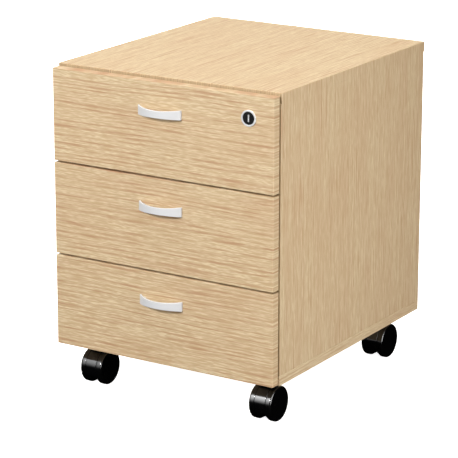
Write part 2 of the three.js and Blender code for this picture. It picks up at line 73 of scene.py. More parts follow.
def linearColour(hexCode):
    shares = [int(hexCode[start:start + 2], 16) / 255 for start in (1, 3, 5)]
    linear = [s / 12.92 if s <= 0.04045 else ((s + 0.055) / 1.055) ** 2.4 for s in shares]
    return (*linear, 1.0)


def addNode(tree, kind, settings=None, links=None):
    node = tree.nodes.new("ShaderNode" + kind)
    for key, value in (settings or {}).items():
        if isinstance(key, str) and hasattr(node, key):
            setattr(node, key, value)
        else:
            node.inputs[key].default_value = value
    for key, socket in (links or {}).items():
        tree.links.new(socket, node.inputs[key])
    return node


def newFinish(name, settings):
    material = bpy.data.materials.new(name)
    material.use_nodes = True
    tree = material.node_tree
    shader = tree.nodes["Principled BSDF"]
    for key, value in settings.items():
        shader.inputs[key].default_value = value
    place = addNode(tree, "TexCoord").outputs["Object"]
    return material, tree, shader, place


oakLook = {
    "roughness": (0.42, 0.56),
    "wanderBy": 3.0,  # millimetres that a line strays to the side
    "lineSpacing": 7.4,
    "lineShare": 0.15,  # how far the even spacing shows in the lines
    "seedStep": 3.7,  # keeps the layers' noises apart
    "bump": 0.2,
    "relief": 0.04 * mm,
    # length and width of a figure in millimetres, then its detail
    "layers": {
        "wander": (190, 30, 0.0),
        "patch": (300, 60, 1.0),
        "zone": (34, 7, 0.0),
        "streaks": (135, 2.6, 0.0),
        "lines": (28, 1.5, 0.0),
        "fibres": (11, 1.1, 0.0),
        "pores": (6, 0.5, 0.0),
    },
    # the stretch of each noise that shows, and the strengths at its two ends
    "shows": {
        "patch": (0.35, 0.65, 0.0, 1.0),
        "zone": (0.3, 0.65, 0.35, 0.8),
        "streaks": (0.45, 0.77, 0.0, 1.0),
        "lines": (0.42, 0.7, 0.0, 1.1),
        "fibres": (0.36, 0.66, 0.0, 0.85),
        "pores": (0.55, 0.7, 1.0, 0.0),
    },
    "faceTone": {"pale": "#E4D1AC", "warm": "#DFC8A4", "fibre": "#C9AC84", "streak": "#B98C68"},
    # A darker tone for edges. On the side panels' front edges it is painted shade for the gap between the
    # drawer fronts and the case sides.
    "darkEdgeAndGapShadeTone": {"pale": "#CFB690", "warm": "#C4AA84", "fibre": "#AE9470", "streak": "#8E7657"},
}


# Light oak printed on melamine: satin, with a dark line every few millimetres along the grain,
# finer fibres between the lines and short shallow pores pressed into the film. The fibres are
# drawn coarser than real ones, so that they show.
def oakFinish(name, along, across, seed, widen=1.0, contrast=1.0, tone="faceTone"):
    look = oakLook
    shade = {part: linearColour(code) for part, code in look[tone].items()}
    material, tree, shader, place = newFinish(name, {})
    axes = addNode(tree, "SeparateXYZ", links={0: place})
    inMm = {"operation": "MULTIPLY", 1: 1 / mm}
    lengthwise = addNode(tree, "Math", inMm, {0: axes.outputs[along]}).outputs[0]
    sideways = addNode(tree, "Math", inMm, {0: axes.outputs[across]}).outputs[0]
    layers = {}
    for number, (layer, (length, width, detail)) in enumerate(look["layers"].items()):
        u = addNode(tree, "Math", {"operation": "MULTIPLY", 1: 1 / length}, {0: lengthwise})
        v = addNode(tree, "Math", {"operation": "MULTIPLY", 1: 1 / (width * widen)}, {0: sideways})
        spot = addNode(tree, "CombineXYZ", {2: seed + look["seedStep"] * number},
                       {0: u.outputs[0], 1: v.outputs[0]})
        noise = addNode(tree, "TexNoise", {"Scale": 1.0, "Detail": detail}, {"Vector": spot.outputs[0]})
        layers[layer] = noise.outputs["Fac"]
        if layer == "wander":  # the other layers follow the strayed lines
            stray = addNode(tree, "MapRange", {1: 0.0, 2: 1.0, 3: -look["wanderBy"], 4: look["wanderBy"]},
                            {0: noise.outputs["Fac"]})
            sideways = addNode(tree, "Math", {"operation": "ADD"},
                               {0: sideways, 1: stray.outputs[0]}).outputs[0]
    shows = {layer: dict(zip((1, 2, 3, 4), span)) for layer, span in look["shows"].items()}
    for layer in ("zone", "lines", "fibres"):
        shows[layer][3] *= contrast
        shows[layer][4] *= contrast
    patch = addNode(tree, "MapRange", shows["patch"], {0: layers["patch"]})
    ground = addNode(tree, "Mix", {"data_type": "RGBA", 6: shade["pale"], 7: shade["warm"]},
                     {0: patch.outputs[0]})
    fibre = addNode(tree, "MapRange", shows["fibres"], {0: layers["fibres"]})
    thread = addNode(tree, "MapRange", shows["lines"], {0: layers["lines"]})
    fine = addNode(tree, "Math", {"operation": "MAXIMUM"}, {0: fibre.outputs[0], 1: thread.outputs[0]})
    fibred = addNode(tree, "Mix", {"data_type": "RGBA", 7: shade["fibre"]},
                     {0: fine.outputs[0], 6: ground.outputs[2]})
    zone = addNode(tree, "MapRange", shows["zone"], {0: layers["zone"]})
    turn = addNode(tree, "Math", {"operation": "MULTIPLY", 1: math.tau / (look["lineSpacing"] * widen)},
                   {0: sideways})
    wave = addNode(tree, "Math", {"operation": "SINE"}, {0: turn.outputs[0]})
    evened = addNode(tree, "Math", {"operation": "MULTIPLY_ADD", 1: look["lineShare"]},
                     {0: wave.outputs[0], 2: layers["streaks"]})
    line = addNode(tree, "MapRange", shows["streaks"], {0: evened.outputs[0]})
    dark = addNode(tree, "Math", {"operation": "MULTIPLY"}, {0: line.outputs[0], 1: zone.outputs[0]})
    colour = addNode(tree, "Mix", {"data_type": "RGBA", 7: shade["streak"]},
                     {0: dark.outputs[0], 6: fibred.outputs[2]})
    pore = addNode(tree, "MapRange", shows["pores"], {0: layers["pores"]})
    relief = addNode(tree, "Math", {"operation": "SUBTRACT"}, {0: pore.outputs[0], 1: line.outputs[0]})
    bump = addNode(tree, "Bump", {"Strength": look["bump"], "Distance": look["relief"]},
                   {"Height": relief.outputs[0]})
    dull = addNode(tree, "MapRange", {1: 0.0, 2: 1.0, 3: look["roughness"][0], 4: look["roughness"][1]},
                   {0: line.outputs[0]})
    tree.links.new(colour.outputs[2], shader.inputs["Base Color"])
    tree.links.new(dull.outputs[0], shader.inputs["Roughness"])
    tree.links.new(bump.outputs[0], shader.inputs["Normal"])
    return material


evenLook = {"detail": 2.0, "glossFrom": 0.3, "glossTo": 0.7, "relief": 0.02 * mm}


# A plain finish with a slight cloudiness in its colour and roughness and a fine relief.
def evenFinish(name, look):
    material, tree, shader, place = newFinish(name, look["settings"])
    detail = evenLook["detail"]
    cloud = addNode(tree, "TexNoise", {"Scale": 1 / (look["cloudMm"] * mm), "Detail": detail},
                    {"Vector": place})
    colour = addNode(tree, "Mix", {"data_type": "RGBA", 6: linearColour(look["colour"]),
                                   7: linearColour(look["cloud"])}, {0: cloud.outputs["Fac"]})
    gloss = addNode(tree, "MapRange", {1: evenLook["glossFrom"], 2: evenLook["glossTo"],
                                       3: look["roughness"][0], 4: look["roughness"][1]},
                    {0: cloud.outputs["Fac"]})
    perGrain = [1 / (width * mm) for width in look["grainMm"]]
    stretch = addNode(tree, "VectorMath", {"operation": "MULTIPLY", 1: perGrain}, {0: place})
    grain = addNode(tree, "TexNoise", {"Scale": 1.0, "Detail": detail}, {"Vector": stretch.outputs[0]})
    bump = addNode(tree, "Bump", {"Strength": look["bump"], "Distance": evenLook["relief"]},
                   {"Height": grain.outputs["Fac"]})
    tree.links.new(colour.outputs[2], shader.inputs["Base Color"])
    tree.links.new(gloss.outputs[0], shader.inputs["Roughness"])
    tree.links.new(bump.outputs[0], shader.inputs["Normal"])
    return material


# White melamine film: satin, with a faint orange peel
whiteMelamine = evenFinish("white_melamine", {
    "settings": {}, "colour": "#D9D7D2", "cloud": "#D3D1CC", "cloudMm": 60,
    "roughness": (0.42, 0.5), "grainMm": (0.8, 0.8, 0.8), "bump": 0.2})
# Raw particle board where a groove or hole cuts the film: coarse flakes, dull
rawChipboard = evenFinish("raw_particle_board", {
    "settings": {}, "colour": "#C2A67C", "cloud": "#8A6B48", "cloudMm": 1.6,
    "roughness": (0.85, 0.95), "grainMm": (1.2, 1.2, 1.2), "bump": 0.8})
# Satin nickel plate on zinc casting, brushed along the handle. It is set nearly non-metallic, so
# that it reads almost white with a matt sheen.
satinNickel = evenFinish("satin_nickel_plate", {
    "settings": {"Metallic": 0.08}, "colour": "#DFDFE0", "cloud": "#D9DADB", "cloudMm": 25,
    "roughness": (0.42, 0.5), "grainMm": (14, 0.4, 0.4), "bump": 0.12})
# Bright nickel plate on the lock's ring: smooth, and only partly metallic so that it reads nearly white
brightNickel = evenFinish("bright_nickel_plate", {
    "settings": {"Metallic": 0.35}, "colour": "#F8F8F8", "cloud": "#F1F2F3", "cloudMm": 10,
    "roughness": (0.22, 0.3), "grainMm": (0.6, 0.6, 0.6), "bump": 0.05})
# Zinc plated pressed steel: bluish grey with a cloudy spangle
zincPlate = evenFinish("zinc_plated_steel", {
    "settings": {"Metallic": 1.0}, "colour": "#C9CDD1", "cloud": "#AEB3B8", "cloudMm": 7,
    "roughness": (0.26, 0.4), "grainMm": (30, 1.2, 1.2), "bump": 0.1})
# Bearing steel: polished balls
bearingSteel = evenFinish("bearing_steel", {
    "settings": {"Metallic": 1.0}, "colour": "#D5D6D8", "cloud": "#CACCCE", "cloudMm": 3,
    "roughness": (0.1, 0.16), "grainMm": (1.0, 1.0, 1.0), "bump": 0.02})
# Polyamide moulded in a polished tool: deep black with a hard gloss
glossPolyamide = evenFinish("gloss_black_polyamide", {
    "settings": {"IOR": 1.55, "Coat Weight": 1.0, "Coat Roughness": 0.12, "Coat IOR": 1.7},
    "colour": "#040405", "cloud": "#060607", "cloudMm": 12,
    "roughness": (0.13, 0.18), "grainMm": (2.5, 2.5, 2.5), "bump": 0.03})
# Polyamide wheel: black, its gloss dulled a little
wheelPolyamide = evenFinish("black_polyamide_wheel", {
    "settings": {"IOR": 1.55, "Coat Weight": 1.0, "Coat Roughness": 0.14, "Coat IOR": 1.65},
    "colour": "#040404", "cloud": "#050506", "cloudMm": 10,
    "roughness": (0.16, 0.22), "grainMm": (2.0, 2.0, 2.0), "bump": 0.04})
# Black coated zinc on the lock's plug: smooth, half gloss
blackCoating = evenFinish("black_coated_zinc", {
    "settings": {}, "colour": "#0A0A0B", "cloud": "#0E0E10", "cloudMm": 5,
    "roughness": (0.28, 0.36), "grainMm": (0.5, 0.5, 0.5), "bump": 0.1})
# Moulded plastic with a spark eroded surface: black and matt
mattPlastic = evenFinish("matt_black_plastic", {
    "settings": {}, "colour": "#151516", "cloud": "#1B1B1C", "cloudMm": 8,
    "roughness": (0.5, 0.6), "grainMm": (0.5, 0.5, 0.5), "bump": 0.5})
# Felt or soft plastic buffer: pale and dull
softBuffer = evenFinish("soft_buffer", {
    "settings": {}, "colour": "#DAD7CF", "cloud": "#CFCBC2", "cloudMm": 2,
    "roughness": (0.6, 0.7), "grainMm": (0.5, 0.5, 0.5), "bump": 0.3})

axisX, axisY, axisZ = 0, 1, 2
oakFronts = {n: oakFinish(f"light_oak_front_{n}", axisX, axisZ, 11.3 * n) for n in drawers}
oakSides = {side: oakFinish(f"light_oak_side_{side}", axisZ, axisY, 41.0 + 9 * sign, 0.55, 0.95)
            for side, sign in sides.items()}
oakTop = oakFinish("light_oak_top", axisY, axisX, 63.0, 0.8, 0.85)
oakBottom = oakFinish("light_oak_bottom", axisY, axisX, 71.0, 0.8, 0.85)
oakEdging = oakFinish("light_oak_edging", axisY, axisZ, 77.0, 0.8, 0.8)
oakTopEdging = oakFinish("light_oak_top_edging", axisZ, axisX, 81.0, 0.35, 0.9, "darkEdgeAndGapShadeTone")
oakFrontEdging = oakFinish("light_oak_front_edging", axisX, axisZ, 79.0, 0.8, 0.8)
# The side panels' front edges are darkened as painted shade, standing in for the shadow in the gap beside
# the drawer fronts.
oakSideEdgeGapShade = oakFinish("light_oak_side_edge_gap_shade", axisZ, axisX, 87.0, 0.6, 0.9, "darkEdgeAndGapShadeTone")
oakBack = oakFinish("light_oak_back", axisZ, axisX, 83.0, 0.8, 0.5)
print("finishes made:", len(bpy.data.materials))


# Shapes that many pieces share

def copyOfNode(node):
    bm = bmesh.new()
    bm.from_mesh(frame["nodes"][node].data)
    bmesh.ops.remove_doubles(bm, verts=bm.verts, dist=0.001 * mm)
    bmesh.ops.dissolve_limit(bm, angle_limit=math.radians(1), verts=bm.verts, edges=bm.edges)
    return bm


def roundEdges(bm, edges, width, segments=3):
    bmesh.ops.bevel(bm, geom=list(edges), offset=width, offset_type="OFFSET", segments=segments,
                    profile=0.5, affect="EDGES", clamp_overlap=True, material=-1)


def sharpEdges(bm, degrees):
    return [e for e in bm.edges if len(e.link_faces) == 2
            and e.calc_face_angle(0) > math.radians(degrees)]


# Edges that run along an edge of the box between low and high, without those of a face such as "+z"
def boxEdges(bm, low, high, without=""):
    near = 0.01 * mm

    def planesOf(co):
        return {sign + "xyz"[axis] for axis in range(3) for sign, wall in (("-", low), ("+", high))
                if abs(co[axis] - wall[axis]) < near}

    shared = {e: planesOf(e.verts[0].co) & planesOf(e.verts[1].co) for e in bm.edges}
    return [e for e, planes in shared.items() if len(planes) >= 2 and without not in planes]


def addPiece(name, bm, body, finishes, standsFor=(), sharpFrom=55):
    mesh = bpy.data.meshes.new(name)
    for face in bm.faces:
        face.smooth = True
    bm.to_mesh(mesh)
    bm.free()
    mesh.set_sharp_from_angle(angle=math.radians(sharpFrom))
    for finish in finishes:
        mesh.materials.append(finish)
    piece = bpy.data.objects.new(name, mesh)
    bpy.context.scene.collection.objects.link(piece)
    weighted = piece.modifiers.new("even_shading", "WEIGHTED_NORMAL")
    weighted.keep_sharp = True
    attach(piece, body)
    if standsFor:
        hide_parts(*standsFor)
    return piece


# A profile of (radius, height) pairs turned about a line; height runs along the axis from centre
def turnProfile(bm, profile, centre, axis, steps, closed=False):
    axis = Vector(axis).normalized()
    outward = axis.orthogonal().normalized()
    verts = [bm.verts.new(centre + outward * radius + axis * height) for radius, height in profile]
    edges = [bm.edges.new(pair) for pair in zip(verts, verts[1:])]
    if closed:
        edges.append(bm.edges.new((verts[-1], verts[0])))
    bmesh.ops.spin(bm, geom=verts + edges, cent=centre, axis=axis, angle=2 * math.pi, steps=steps,
                   use_merge=True, use_duplicate=False)
    bmesh.ops.remove_doubles(bm, verts=bm.verts, dist=0.005 * mm)
    bmesh.ops.recalc_face_normals(bm, faces=bm.faces)


# Pan head screw with a plain twelve-sided recess, and the flat cover of a cam. Shares of the radius:
screwLook = {"headHeight": 0.34, "recessRadius": 0.6, "recess": 0.22}
camLook = {"headHeight": 0.05, "recessRadius": 0.5, "recess": 0.04}
headSteps = 12
headRim = ((0.86, 0.82), (1.0, 0.35), (1.0, 0.0))  # shares of the radius and of the head's height


# facing is the way that the head looks
def addScrew(name, place, facing, radius, body, finish=zincPlate, look=screwLook):
    bm = bmesh.new()
    bmesh.ops.create_circle(bm, cap_ends=True, segments=headSteps, radius=radius * look["recessRadius"])
    halfStep = Matrix.Rotation(math.pi / headSteps, 3, "Z")  # puts a flat, not a corner, on each axis
    bmesh.ops.rotate(bm, verts=bm.verts, matrix=halfStep)
    socket = list(bm.faces)
    height = look["headHeight"] * radius
    bmesh.ops.translate(bm, verts=bm.verts, vec=(0, 0, height))
    rim = [e for e in bm.edges if e.is_boundary]
    for width, level in headRim:
        grown = bmesh.ops.extrude_edge_only(bm, edges=rim)["geom"]
        rim = [g for g in grown if isinstance(g, bmesh.types.BMEdge)]
        for vert in [g for g in grown if isinstance(g, bmesh.types.BMVert)]:
            outward = Vector((vert.co.x, vert.co.y, 0)).normalized()
            vert.co = outward * radius * width + Vector((0, 0, height * level))
    bmesh.ops.contextual_create(bm, geom=rim)
    sunk = bmesh.ops.extrude_face_region(bm, geom=socket)["geom"]
    bmesh.ops.translate(bm, verts=[g for g in sunk if isinstance(g, bmesh.types.BMVert)],
                        vec=(0, 0, -look["recess"] * radius))
    bmesh.ops.delete(bm, geom=socket, context="FACES_ONLY")
    bmesh.ops.recalc_face_normals(bm, faces=bm.faces)
    turn = Vector((0, 0, 1)).rotation_difference(Vector(facing)).to_matrix().to_4x4()
    bmesh.ops.transform(bm, matrix=Matrix.Translation(place) @ turn, verts=bm.verts)
    return addPiece(name, bm, body, [finish])


# Boards: melamine on particle board, with the edging rounded over

boardLook = {"edgeRadius": 0.9 * mm, "sideEdgeRadius": 0.5 * mm, "whiteEdgeRadius": 0.5 * mm,
             "backEdgeRadius": 0.3 * mm, "nailRoom": 0.4 * mm}


# finishFor maps a face direction such as "+x" to a finish; cut faces inside the box are raw board
def addBoard(node, finishFor, cutFinish, edgeRadius, butted=""):
    bm = copyOfNode(node)
    low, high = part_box(node)
    if node == "back_panel":  # its rear face stands in by a nail head
        high.y -= boardLook["nailRoom"]
        for vert in bm.verts:
            vert.co.y = min(vert.co.y, high.y)
    roundEdges(bm, boxEdges(bm, low, high, butted), edgeRadius)
    finishes = [*dict.fromkeys(finishFor.values()), cutFinish]
    for face in bm.faces:
        middle = face.calc_center_median()
        axis = max(range(3), key=lambda a: abs(face.normal[a]))
        outermost = high[axis] if face.normal[axis] > 0 else low[axis]
        direction = ("-+"[face.normal[axis] > 0]) + "xyz"[axis]
        onSkin = abs(middle[axis] - outermost) < edgeRadius
        face.material_index = finishes.index(finishFor[direction] if onSkin else cutFinish)
    return addPiece(node + "_board", bm, bodyOf[node], finishes, [node])


def allRound(finish):
    return {direction: finish for direction in ("-x", "+x", "-y", "+y", "-z", "+z")}


for side, sign in sides.items():
    # The front edge takes the darker tone as painted shade for the gap beside the fronts.
    sideFinishes = {**allRound(oakSides[side]), "-y": oakSideEdgeGapShade}
    addBoard(f"side_panel_{side}", sideFinishes, rawChipboard, boardLook["sideEdgeRadius"], "+z")
caseFinishes = {**allRound(oakTop), "-x": oakSides["left"], "+x": oakSides["right"],
                "-y": oakTopEdging, "+y": oakTopEdging}
addBoard("top_panel", caseFinishes, rawChipboard, boardLook["edgeRadius"], "-z")
bottomFinishes = {**allRound(oakBottom), "-x": oakEdging, "+x": oakEdging, "-y": oakFrontEdging}
addBoard("bottom_panel", bottomFinishes, rawChipboard, boardLook["edgeRadius"])
addBoard("back_panel", allRound(oakBack), rawChipboard, boardLook["backEdgeRadius"])
for number in drawers:
    name = f"drawer_{number}"
    addBoard(f"{name}_front", allRound(oakFronts[number]), rawChipboard, boardLook["edgeRadius"])
    for part in ("side_left", "side_right", "back", "bottom"):
        addBoard(f"{name}_{part}", allRound(whiteMelamine), rawChipboard, boardLook["whiteEdgeRadius"])
print("boards made")


# Handles: a strip bowed out of the front, waisted in the middle

handleLook = {
    "thickness": 3.0 * mm,
    "waist": 11.0 * mm,
    "edgeRadius": 0.6 * mm,
    "steps": 56,
    "sweepSpare": 0.1,  # radians that the ends' cuts take off again
    "bossRadius": 4.0 * mm,
    "bossSteps": 32,
    "holeSpacing": 64.0 * mm,
    "bossOverlap": 1.0 * mm,  # how far a boss runs into the bow
    "screwRadius": 4.2 * mm,
}


def addHandle(number):
    look = handleLook
    node = f"drawer_{number}_handle"
    low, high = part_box(node)
    middle = (low + high) / 2
    half = (high.x - low.x) / 2
    sagitta = high.y - low.y - look["thickness"]
    outer = (half ** 2 + sagitta ** 2) / (2 * sagitta)
    inner = outer - look["thickness"]
    centre = Vector((middle.x, low.y + outer, middle.z))
    bm = bmesh.new()
    places = [(0, -outer, low.z), (0, -inner, low.z), (0, -inner, high.z), (0, -outer, high.z)]
    verts = [bm.verts.new((centre.x, centre.y + y, z)) for x, y, z in places]
    edges = [bm.edges.new((verts[i], verts[(i + 1) % 4])) for i in range(4)]
    sweep = 2 * math.asin(half / inner) + look["sweepSpare"]
    start = Matrix.Rotation(-sweep / 2, 4, "Z")
    bmesh.ops.rotate(bm, verts=verts, cent=centre, matrix=start)
    bmesh.ops.spin(bm, geom=verts + edges, cent=centre, axis=(0, 0, 1), angle=sweep,
                   steps=look["steps"], use_merge=False, use_duplicate=False)
    for planePoint, planeNormal in ((low, (-1, 0, 0)), (high, (1, 0, 0)), (high, (0, 1, 0))):
        cut = bmesh.ops.bisect_plane(bm, geom=bm.verts[:] + bm.edges[:] + bm.faces[:],
                                     plane_co=planePoint, plane_no=planeNormal, clear_outer=True)
        bmesh.ops.edgeloop_fill(bm, edges=[e for e in bm.edges if e.is_boundary and e in cut["geom_cut"]])
    bmesh.ops.recalc_face_normals(bm, faces=bm.faces)
    for vert in bm.verts:
        share = ((vert.co.x - middle.x) / half) ** 2
        height = look["waist"] + (high.z - low.z - look["waist"]) * share
        vert.co.z = middle.z + (vert.co.z - middle.z) * height / (high.z - low.z)
    roundEdges(bm, sharpEdges(bm, 30), look["edgeRadius"], 2)
    for side in (-1, 1):
        x = middle.x + side * look["holeSpacing"] / 2
        reach = math.sqrt(inner ** 2 - (x - centre.x) ** 2) - (centre.y - high.y) + look["bossOverlap"]
        made = bmesh.ops.create_cone(bm, cap_ends=True, segments=look["bossSteps"],
                                     radius1=look["bossRadius"], radius2=look["bossRadius"], depth=reach)
        turn = Matrix.Rotation(math.pi / 2, 4, "X")
        place = Matrix.Translation((x, high.y - reach / 2, middle.z))
        bmesh.ops.transform(bm, matrix=place @ turn, verts=made["verts"])
    addPiece(f"{node}_bow", bm, bodyOf[node], [satinNickel], [node])
    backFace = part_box(f"drawer_{number}_front")[1].y
    for side, sign in sides.items():
        x = middle.x + sign * look["holeSpacing"] / 2
        addScrew(f"{node}_screw_{side}", (x, backFace, middle.z), (0, 1, 0), look["screwRadius"],
                 bodyOf[node])


for number in drawers:
    addHandle(number)
print("handles made")


# Lock: a bright ring round a black plug, with the key slot's shutter in the middle

lockLook = {
    "steps": 96,
    "barrelRadius": 11.2 * mm,
    "ringHeight": 1.9 * mm,
    "ringBevel": 0.6 * mm,
    "headDepth": 8.0 * mm,
    "neckRadius": 7.0 * mm,
    "clearance": 0.15 * mm,
    "plugBevel": 0.25 * mm,
    "slotWidth": 2.6 * mm,
    "slotHeight": 11.0 * mm,
    "shutterDepth": 0.35 * mm,
    "discThickness": 2.5 * mm,
    "discEdge": 0.4 * mm,
    "pinRadius": 2.0 * mm,
    "pinAside": 4.243 * mm,  # to the right of the lock's axis, and as far below it
    "pinSteps": 32,
    "screwRadius": 3.2 * mm,
}


def edgesAt(bm, axis, level, least=0.0, most=1.0, centre=None):
    def fits(vert):
        away = (vert.co - centre).length if centre else least
        return abs(vert.co[axis] - level) < 0.01 * mm and least <= away <= most

    return [e for e in bm.edges if fits(e.verts[0]) and fits(e.verts[1])]


def addLockRing(centre, ring, plug, length):
    look = lockLook
    bore = plug + look["clearance"]
    neck = look["neckRadius"] + look["clearance"]
    profile = [(bore, 0), (bore, look["headDepth"]), (neck, look["headDepth"]), (neck, length),
               (look["barrelRadius"], length), (look["barrelRadius"], look["ringHeight"]),
               (ring, look["ringHeight"]), (ring, 0)]
    bm = bmesh.new()
    turnProfile(bm, profile, centre, (0, 1, 0), look["steps"], closed=True)
    roundEdges(bm, edgesAt(bm, axisY, centre.y), look["ringBevel"], 4)
    addPiece("lock_ring", bm, bodyOf["lock_housing"], [brightNickel],
             ["lock_housing"])


# The face has a slot with round ends, closed a little way in by the shutter plate
def addLockPlug(centre, radius, length):
    look = lockLook
    bm = bmesh.new()
    rim = bmesh.ops.create_circle(bm, segments=look["steps"], radius=radius)["verts"]
    slot = bmesh.ops.create_circle(bm, segments=look["pinSteps"], radius=look["slotWidth"] / 2)["verts"]
    for vert in slot:
        vert.co.y += math.copysign((look["slotHeight"] - look["slotWidth"]) / 2, vert.co.y + 0.01 * mm)
    slotEdges = [e for e in bm.edges if e.verts[0] in slot]
    rimEdges = [e for e in bm.edges if e.verts[0] in rim]
    bmesh.ops.triangle_fill(bm, edges=bm.edges[:], use_beauty=True)
    sunk = bmesh.ops.extrude_edge_only(bm, edges=slotEdges)["geom"]
    bmesh.ops.translate(bm, verts=[g for g in sunk if isinstance(g, bmesh.types.BMVert)],
                        vec=(0, 0, -look["shutterDepth"]))
    shutter = bmesh.ops.contextual_create(
        bm, geom=[g for g in sunk if isinstance(g, bmesh.types.BMEdge) and g.is_boundary])["faces"]
    for face in shutter:
        face.material_index = 1
    neck = look["neckRadius"] / radius
    for scale, depth in ((1.0, look["headDepth"]), (neck, look["headDepth"]), (neck, length)):
        grown = bmesh.ops.extrude_edge_only(bm, edges=rimEdges)["geom"]
        rimEdges = [g for g in grown if isinstance(g, bmesh.types.BMEdge) and g.is_boundary]
        for vert in {v for e in rimEdges for v in e.verts}:
            outward = Vector((vert.co.x, vert.co.y, 0)).normalized()
            vert.co = outward * radius * scale + Vector((0, 0, -depth))
    bmesh.ops.contextual_create(bm, geom=rimEdges)
    roundEdges(bm, edgesAt(bm, axisZ, 0, radius - 0.1 * mm, radius + 0.1 * mm, Vector()),
               look["plugBevel"], 3)
    bmesh.ops.recalc_face_normals(bm, faces=bm.faces)
    turn = Matrix.Translation(centre) @ Matrix.Rotation(math.pi / 2, 4, "X")
    bmesh.ops.transform(bm, matrix=turn, verts=bm.verts)
    addPiece("lock_plug_face", bm, bodyOf["lock_plug"],
             [blackCoating, brightNickel], ["lock_plug"])


def addLockDriver(axisPoint):
    look = lockLook
    low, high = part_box("lock_driver")
    start = Vector((axisPoint.x, low.y, axisPoint.z))
    reach = look["discThickness"]
    discRadius = axisPoint.x - low.x
    edge = look["discEdge"]
    bm = bmesh.new()
    turnProfile(bm, [(0, 0), (discRadius - edge, 0), (discRadius, edge), (discRadius, reach - edge),
                     (discRadius - edge, reach), (0, reach)], start, (0, 1, 0), look["steps"])
    pin = look["pinRadius"]
    place = start + Vector((look["pinAside"], reach / 2, -look["pinAside"]))
    length = high.y - place.y
    turnProfile(bm, [(0, 0), (pin, 0), (pin, length - edge), (pin - edge, length), (0, length)],
                place, (0, 1, 0), look["pinSteps"])
    addPiece("lock_driver_disc", bm, bodyOf["lock_driver"], [zincPlate],
             ["lock_driver"])
    addScrew("lock_driver_screw", start + Vector((0, reach, 0)), (0, 1, 0), look["screwRadius"],
             bodyOf["lock_driver"])


def addLock():
    low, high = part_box("lock_housing")
    plugLow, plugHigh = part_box("lock_plug")
    axisPoint = (low + high) / 2
    plug = (plugHigh.x - plugLow.x) / 2
    addLockRing(Vector((axisPoint.x, low.y, axisPoint.z)), (high.x - low.x) / 2, plug, high.y - low.y)
    addLockPlug(Vector((axisPoint.x, plugLow.y, axisPoint.z)), plug, plugHigh.y - plugLow.y)
    addLockDriver(axisPoint)


addLock()
print("lock made")


# Casters: two wheels under a curved hood that ends in a boss on the swivel axis

casterLook = {
    "steps": 96,
    "shoulder": 2.7 * mm,
    "shoulderSteps": 8,
    "treadEdge": 0.8 * mm,
    "edgeBow": 0.3,  # how far the middle of the tread's edge stands in, as a share of its width
    "flangeFace": 9.9 * mm,  # distances from the caster's middle plane
    "innerFace": 4.75 * mm,
    "hubRadius": 25.0 * mm,
    "boreRadius": 2.9 * mm,
    "boreEnd": 17.0 * mm,
    "dish": (20.0 * mm, 21.2 * mm, 0.35 * mm),  # where the side's shallow dish ends, and its depth
    "hoodStart": -22.0,
    "hoodSteps": 72,
    "hoodWall": 2.4 * mm,
    "hoodEdge": 0.5 * mm,
    "ribHalf": 3.4 * mm,
    "axleBoss": 7.0 * mm,
    "axleBossHalf": 4.2 * mm,
    "ribOverlap": 0.2 * mm,  # how far the rib runs into the axle's boss
    "bossRadius": 9.5 * mm,
    "bossEdge": 0.9 * mm,
    "bossWall": 5.1 * mm,
    "bossDepth": 12.3 * mm,
    "plateThickness": 2.5 * mm,
    "plateCorner": 5.0 * mm,
    "plateEdge": 0.3 * mm,
    "raceRadius": 14.0 * mm,
    "raceHeight": 4.0 * mm,
    "raceEdge": ((0, 0.5), (0.4 * mm, 0.8), (1.4 * mm, 1.0)),  # drawn in by this at a share of the height
    "kingpinRadius": 4.0 * mm,
    "kingpinEdge": 0.6 * mm,
    "holeSpacing": 30.0 * mm,
    "screwRadius": 4.0 * mm,
}


def addWheel(corner, side, centre, radius):
    look = casterLook
    node = f"caster_{corner}_wheel_{side}"
    low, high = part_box(node)
    face = max(abs(low.x - centre.x), abs(high.x - centre.x))
    dishInner, dishOuter, dishDepth = look["dish"]
    shoulder = look["shoulder"]
    profile = [(0, face - dishDepth), (dishInner, face - dishDepth), (dishOuter, face)]
    for step in range(look["shoulderSteps"] + 1):
        angle = math.pi / 2 * step / look["shoulderSteps"]
        profile.append((radius - shoulder + shoulder * math.sin(angle),
                        face - shoulder + shoulder * math.cos(angle)))
    flange, edge = look["flangeFace"], look["treadEdge"]
    hub, bore, innerFace = look["hubRadius"], look["boreRadius"], look["innerFace"]
    bow = edge * look["edgeBow"]
    profile += [(radius, flange + edge), (radius - bow, flange + bow),
                (radius - edge, flange), (hub, flange), (hub, innerFace + edge), (hub - edge, innerFace),
                (bore, innerFace), (bore, look["boreEnd"]), (0, look["boreEnd"])]
    bm = bmesh.new()
    turnProfile(bm, profile, centre, (sides[side], 0, 0), look["steps"])
    addPiece(f"{node}_moulding", bm, bodyOf[node], [wheelPolyamide], [node], 35)


